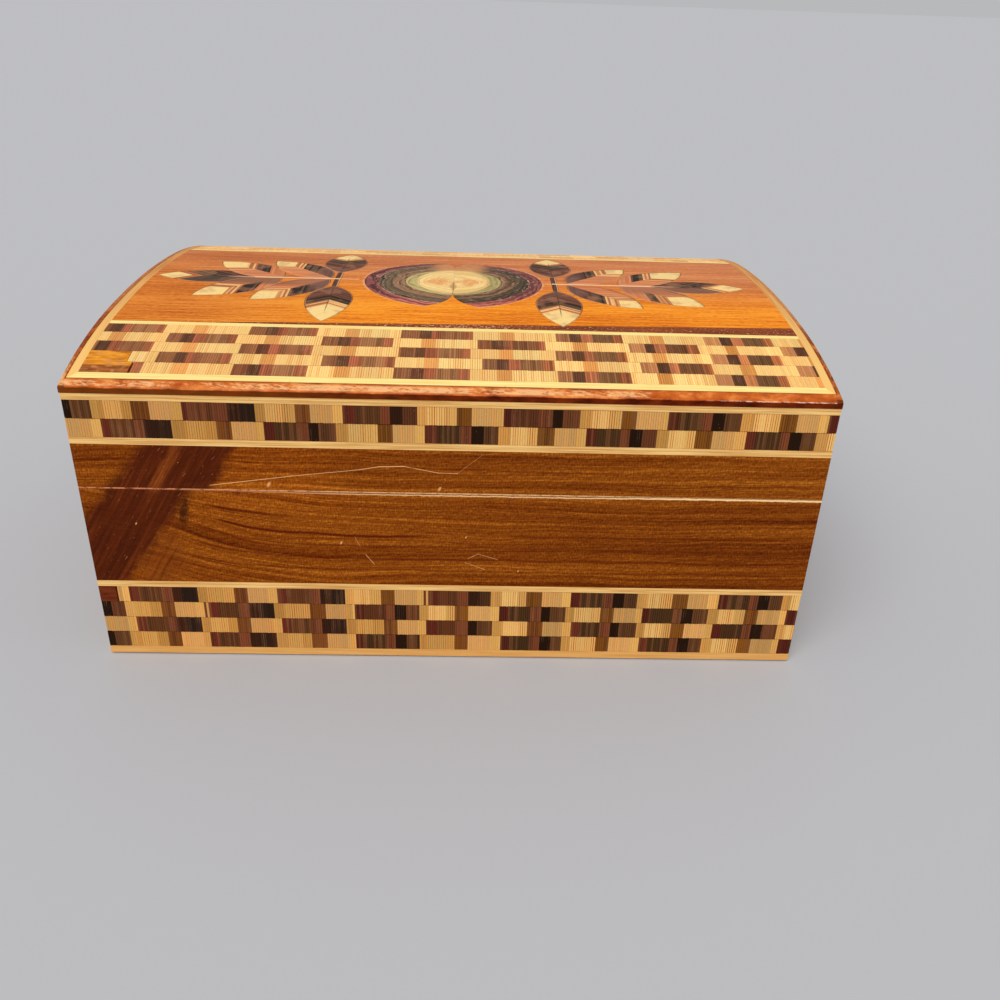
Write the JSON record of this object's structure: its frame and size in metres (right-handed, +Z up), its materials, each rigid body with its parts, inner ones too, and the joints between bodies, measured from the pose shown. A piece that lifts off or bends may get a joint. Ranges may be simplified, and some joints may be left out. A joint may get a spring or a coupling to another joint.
{
  "type": "trinket box",
  "caption": "Hinged wooden keepsake box with straw marquetry bands, pale stringing and an arched lid with a flower inlay.",
  "frame": {"origin": "middle of the underside, on the surface that the box stands on", "axes": "+X along the box towards its right end, +Y from the front to the hinges at the back, +Z up"},
  "size_m": [0.15, 0.11, 0.0695],
  "materials": {
    "board_wood": "plain stained wood inside the box",
    "edge_wood": "glossy red-brown varnish, worn pale along the chamfer",
    "brown_veneer": "glossy brown varnished veneer with grain along the box",
    "straw_mosaic": "dyed straw in short upright pieces under varnish",
    "pale_string": "pale yellow stringing under varnish",
    "orange_veneer": "glossy orange varnished veneer with fine grain",
    "maroon_straw": "maroon dyed straw under varnish",
    "black_straw": "blackened straw under varnish",
    "brown_straw": "brown dyed straw under varnish",
    "green_straw": "green dyed straw under varnish",
    "pale_straw": "natural pale straw under varnish",
    "hinge_brass": "dull rolled brass",
    "nail_brass": "small brass nails"
  },
  "bodies": {
    "base": {"base_front_board": "board_wood", "base_back_board": "board_wood", "base_left_board": "board_wood", "base_right_board": "board_wood", "base_bottom_panel": "board_wood", "base_front_veneer": "brown_veneer", "base_back_veneer": "brown_veneer", "base_left_veneer": "brown_veneer", "base_right_veneer": "brown_veneer", "base_front_band": "straw_mosaic", "base_back_band": "straw_mosaic", "base_left_band": "straw_mosaic", "base_right_band": "straw_mosaic", "base_front_strings": "pale_string", "base_back_strings": "pale_string", "base_left_strings": "pale_string", "base_right_strings": "pale_string", "left_hinge_base_leaf": "hinge_brass", "left_hinge_pin": "hinge_brass", "right_hinge_base_leaf": "hinge_brass", "right_hinge_pin": "hinge_brass", "base_hinge_nails": "nail_brass"},
    "lid": {"lid_front_board": "board_wood", "lid_back_board": "board_wood", "lid_left_board": "board_wood", "lid_right_board": "board_wood", "lid_top_panel": "edge_wood", "lid_front_veneer": "brown_veneer", "lid_back_veneer": "brown_veneer", "lid_left_veneer": "brown_veneer", "lid_right_veneer": "brown_veneer", "lid_front_band": "straw_mosaic", "lid_back_band": "straw_mosaic", "lid_left_band": "straw_mosaic", "lid_right_band": "straw_mosaic", "lid_top_front_band": "straw_mosaic", "lid_top_back_band": "straw_mosaic", "lid_front_strings": "pale_string", "lid_back_strings": "pale_string", "lid_left_strings": "pale_string", "lid_right_strings": "pale_string", "lid_top_inner_strings": "pale_string", "lid_top_front_border": "pale_string", "lid_top_back_border": "pale_string", "lid_top_left_border": "pale_string", "lid_top_right_border": "pale_string", "lid_top_field": "orange_veneer", "rosette_maroon_ring": "maroon_straw", "rosette_black_ring": "black_straw", "rosette_brown_ring": "brown_straw", "rosette_green_ring": "green_straw", "rosette_heart": "pale_straw", "stems": "pale_straw", "upright_leaves": "pale_straw", "left_spray_leaves": "pale_straw", "right_spray_leaves": "pale_straw", "left_hinge_lid_leaf": "hinge_brass", "right_hinge_lid_leaf": "hinge_brass", "lid_hinge_nails": "nail_brass"}
  },
  "joints": [
    {"name": "lid_hinge", "type": "hinge", "parent": "base", "child": "lid", "pos_m": [0, 0.0534, 0.04105], "axis": [-1, 0, 0], "range_deg": [0, 105]}
  ]
}
